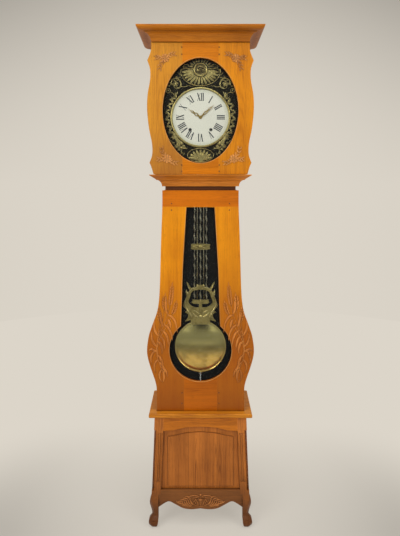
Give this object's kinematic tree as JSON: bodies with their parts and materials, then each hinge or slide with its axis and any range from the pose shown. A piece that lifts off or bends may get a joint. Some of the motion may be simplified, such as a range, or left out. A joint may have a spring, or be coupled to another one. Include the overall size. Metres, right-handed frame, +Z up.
{
  "type": "longcase clock",
  "caption": "Longcase clock with a shaped hood, a violin-shaped waist door with a keyhole window, a lyre pendulum, two weights and a footed base.",
  "frame": {"origin": "on the floor, at the centre of the plan", "axes": "+Z up along the height, -Y out of the front, +X to the right seen from the front"},
  "size_m": [0.564, 0.335, 2.25],
  "materials": {
    "cherry_wood": "waxed satin",
    "brown_wood": "waxed satin",
    "dark_wood": "stained satin",
    "glass": "clear",
    "movement_brass": "satin",
    "hand_brass": "polished",
    "pressed_brass": "antique",
    "enamel": "fired enamel, glossy",
    "bell_bronze": "polished",
    "wrought_iron": "blackened",
    "polished_steel": "polished",
    "hemp_rope": "twisted",
    "cast_iron": "painted black",
    "pendulum_brass": "polished"
  },
  "bodies": {
    "case": {"cornice": "cherry_wood", "hood_top": "cherry_wood", "hood_side_left": "cherry_wood", "hood_side_right": "cherry_wood", "hood_back": "brown_wood", "hood_moulding": "cherry_wood", "neck": "brown_wood", "cheeks": "brown_wood", "seatboard": "brown_wood", "waist_side_left": "cherry_wood", "waist_side_right": "cherry_wood", "waist_back": "brown_wood", "base_cap": "cherry_wood", "base_top_rail": "brown_wood", "base_apron": "brown_wood", "base_panel": "brown_wood", "base_side_left": "brown_wood", "base_side_right": "brown_wood", "base_back": "brown_wood", "base_floor": "brown_wood", "front_legs": "dark_wood", "rear_legs": "dark_wood", "case_hinges": "movement_brass", "movement_cage": "wrought_iron", "dial_surround": "pressed_brass", "dial": "enamel", "bell": "bell_bronze"},
    "hood_door": {"hood_stile_left": "cherry_wood", "hood_stile_right": "cherry_wood", "hood_rail_top": "cherry_wood", "hood_rail_bottom": "cherry_wood", "hood_glass": "glass", "hood_door_hinges": "movement_brass"},
    "waist_door": {"waist_stile_left": "cherry_wood", "waist_stile_right": "cherry_wood", "waist_rail_top": "cherry_wood", "waist_rail_bottom": "cherry_wood", "waist_glass": "glass", "waist_door_hinges": "movement_brass"},
    "pendulum": {"pendulum_rods": "pendulum_brass", "pendulum_bars": "pendulum_brass", "pendulum_lyre": "pendulum_brass", "pendulum_bob": "pendulum_brass", "rating_nut": "polished_steel"},
    "anchor": {"anchor": "polished_steel"},
    "escape_wheel": {"escape_wheel": "movement_brass"},
    "third_wheel": {"third_wheel": "movement_brass"},
    "centre_wheel": {"centre_wheel": "movement_brass"},
    "going_drum": {"going_drum": "movement_brass"},
    "going_weight": {"going_weight": "cast_iron", "going_rope": "hemp_rope"},
    "fly": {"fly": "movement_brass"},
    "pin_wheel": {"pin_wheel": "movement_brass"},
    "strike_drum": {"strike_drum": "movement_brass"},
    "strike_weight": {"strike_weight": "cast_iron", "strike_rope": "hemp_rope"},
    "hammer": {"hammer": "polished_steel"},
    "minute_hand": {"minute_hand": "hand_brass"},
    "hour_hand": {"hour_hand": "hand_brass"},
    "minute_wheel": {"minute_wheel": "movement_brass"}
  },
  "joints": [
    {"name": "hood_door_hinge", "type": "hinge", "parent": "case", "child": "hood_door", "pos_m": [0.2085, -0.0741, 0], "axis": [0, 0, 1], "range_deg": [0, 90]},
    {"name": "waist_door_hinge", "type": "hinge", "parent": "case", "child": "waist_door", "pos_m": [0.1705, -0.0366, 0], "axis": [0, 0, 1], "range_deg": [0, 90]},
    {"name": "pendulum_swing", "type": "hinge", "parent": "case", "child": "pendulum", "pos_m": [0, -0.005, 1.9499], "axis": [0, 1, 0], "range_deg": [-1.5, 1.5]},
    {"name": "anchor_rock", "type": "hinge", "parent": "case", "child": "anchor", "pos_m": [0, -0.005, 1.9499], "axis": [0, 1, 0], "range_deg": [-1.6, 1.6]},
    {"name": "escape_spin", "type": "hinge", "parent": "case", "child": "escape_wheel", "pos_m": [0, -0.005, 1.9179], "axis": [0, 1, 0], "range_deg": [0, 2310166]},
    {"name": "third_spin", "type": "hinge", "parent": "case", "child": "third_wheel", "pos_m": [0, -0.005, 1.8891], "axis": [0, 1, 0], "range_deg": [-288771, 0]},
    {"name": "centre_spin", "type": "hinge", "parent": "case", "child": "centre_wheel", "pos_m": [0, -0.005, 1.8587], "axis": [0, 1, 0], "range_deg": [0, 41253]},
    {"name": "going_drum_spin", "type": "hinge", "parent": "case", "child": "going_drum", "pos_m": [0.047, -0.005, 1.8022], "axis": [0, 1, 0], "range_deg": [-3438, 0]},
    {"name": "going_weight_fall", "type": "slide", "parent": "case", "child": "going_weight", "axis": [0, 0, -1], "range_m": [0, 1.2], "deforming": ["going_rope"]},
    {"name": "fly_spin", "type": "hinge", "parent": "case", "child": "fly", "pos_m": [-0.047, -0.005, 1.90809], "axis": [0, -1, 0], "range_deg": [0, 330024]},
    {"name": "pin_wheel_spin", "type": "hinge", "parent": "case", "child": "pin_wheel", "pos_m": [-0.047, -0.005, 1.87569], "axis": [0, 1, 0], "range_deg": [0, 41253]},
    {"name": "strike_drum_spin", "type": "hinge", "parent": "case", "child": "strike_drum", "pos_m": [-0.047, -0.005, 1.8022], "axis": [0, 1, 0], "range_deg": [-3438, 0]},
    {"name": "strike_weight_fall", "type": "slide", "parent": "case", "child": "strike_weight", "axis": [0, 0, -1], "range_m": [0, 1.2], "deforming": ["strike_rope"]},
    {"name": "hammer_lift", "type": "hinge", "parent": "case", "child": "hammer", "pos_m": [-0.047, -0.005, 1.94509], "axis": [0, -1, 0], "range_deg": [0, 16], "stiffness_Nm_per_rad": 0.03, "springref_deg": -17.19},
    {"name": "minute_hand_turn", "type": "hinge", "parent": "case", "child": "minute_hand", "pos_m": [0, -0.005, 1.8587], "axis": [0, 1, 0], "continuous": true},
    {"name": "minute_wheel_turn", "type": "hinge", "parent": "case", "child": "minute_wheel", "pos_m": [0, -0.005, 1.8947], "axis": [0, 1, 0], "continuous": true},
    {"name": "hour_hand_turn", "type": "hinge", "parent": "case", "child": "hour_hand", "pos_m": [0, -0.005, 1.8587], "axis": [0, 1, 0], "continuous": true}
  ],
  "couplings": [
    {"joint": "anchor_rock", "follows": "pendulum_swing", "ratio": 1},
    {"joint": "going_drum_spin", "follows": "going_weight_fall", "rad_per_m": -50},
    {"joint": "centre_spin", "follows": "going_weight_fall", "rad_per_m": 600},
    {"joint": "third_spin", "follows": "going_weight_fall", "rad_per_m": -4200},
    {"joint": "escape_spin", "follows": "going_weight_fall", "rad_per_m": 33600},
    {"joint": "strike_drum_spin", "follows": "strike_weight_fall", "rad_per_m": -50},
    {"joint": "pin_wheel_spin", "follows": "strike_weight_fall", "rad_per_m": 600},
    {"joint": "fly_spin", "follows": "strike_weight_fall", "rad_per_m": 4800},
    {"joint": "minute_wheel_turn", "follows": "minute_hand_turn", "ratio": -0.66667},
    {"joint": "hour_hand_turn", "follows": "minute_hand_turn", "ratio": 0.083333}
  ]
}
